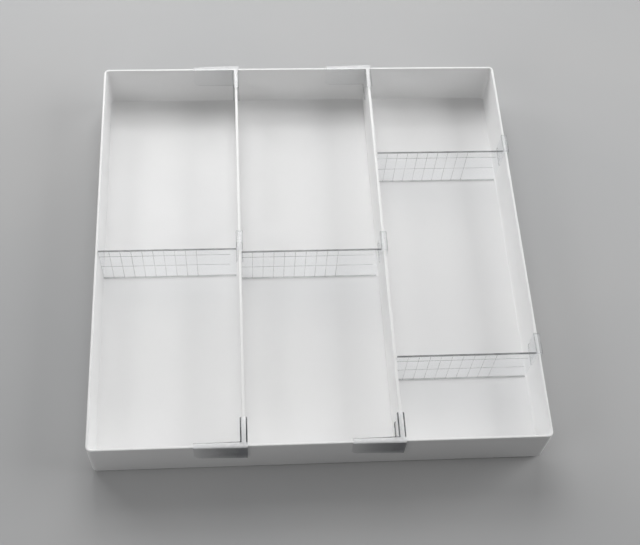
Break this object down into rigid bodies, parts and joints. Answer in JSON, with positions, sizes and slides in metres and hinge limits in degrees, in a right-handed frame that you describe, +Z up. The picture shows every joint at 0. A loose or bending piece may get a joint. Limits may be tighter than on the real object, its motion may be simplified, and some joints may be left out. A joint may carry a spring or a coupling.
{
  "type": "drawer organizer insert",
  "caption": "Open white tray with long dividers held by end clips and clear cross dividers that hook over a rim and slide along it.",
  "frame": {"origin": "middle of the tray's underside", "axes": "+X to the right, +Y to the rear, +Z up; the long dividers run along Y"},
  "size_m": [0.4019, 0.4138, 0.0529],
  "materials": {
    "tray_white": "satin moulded plastic",
    "divider_white": "satin moulded plastic",
    "clip_clear": "clear gloss",
    "cross_clear": "clear gloss, scored"
  },
  "bodies": {
    "tray": {"tray": "tray_white"},
    "long_left": {"long_divider_left": "divider_white"},
    "long_right": {"long_divider_right": "divider_white"},
    "clip_front_left": {"end_clip_front_left": "clip_clear"},
    "clip_rear_left": {"end_clip_rear_left": "clip_clear"},
    "clip_front_right": {"end_clip_front_right": "clip_clear"},
    "clip_rear_right": {"end_clip_rear_right": "clip_clear"},
    "cross_left": {"cross_divider_left": "cross_clear"},
    "cross_middle": {"cross_divider_middle": "cross_clear"},
    "cross_right_rear": {"cross_divider_right_rear": "cross_clear"},
    "cross_right_front": {"cross_divider_right_front": "cross_clear"}
  },
  "joints": [
    {"name": "long_left_lift", "type": "slide", "parent": "tray", "child": "long_left", "axis": [0, 0, 1], "range_m": [0, 0.06]},
    {"name": "long_right_lift", "type": "slide", "parent": "tray", "child": "long_right", "axis": [0, 0, 1], "range_m": [0, 0.06]},
    {"name": "clip_front_left_lift", "type": "slide", "parent": "long_left", "child": "clip_front_left", "axis": [0, 0, 1], "range_m": [0, 0.03]},
    {"name": "clip_rear_left_lift", "type": "slide", "parent": "long_left", "child": "clip_rear_left", "axis": [0, 0, 1], "range_m": [0, 0.03]},
    {"name": "clip_front_right_lift", "type": "slide", "parent": "long_right", "child": "clip_front_right", "axis": [0, 0, 1], "range_m": [0, 0.03]},
    {"name": "clip_rear_right_lift", "type": "slide", "parent": "long_right", "child": "clip_rear_right", "axis": [0, 0, 1], "range_m": [0, 0.03]},
    {"name": "cross_left_slide", "type": "slide", "parent": "long_left", "child": "cross_left", "axis": [0, 1, 0], "range_m": [0, 0.168]},
    {"name": "cross_middle_slide", "type": "slide", "parent": "long_right", "child": "cross_middle", "axis": [0, 1, 0], "range_m": [-0.086, 0]},
    {"name": "cross_right_rear_slide", "type": "slide", "parent": "tray", "child": "cross_right_rear", "axis": [0, 1, 0], "range_m": [-0.085, 0.08]},
    {"name": "cross_right_front_slide", "type": "slide", "parent": "tray", "child": "cross_right_front", "axis": [0, 1, 0], "range_m": [-0.05, 0.02]}
  ]
}
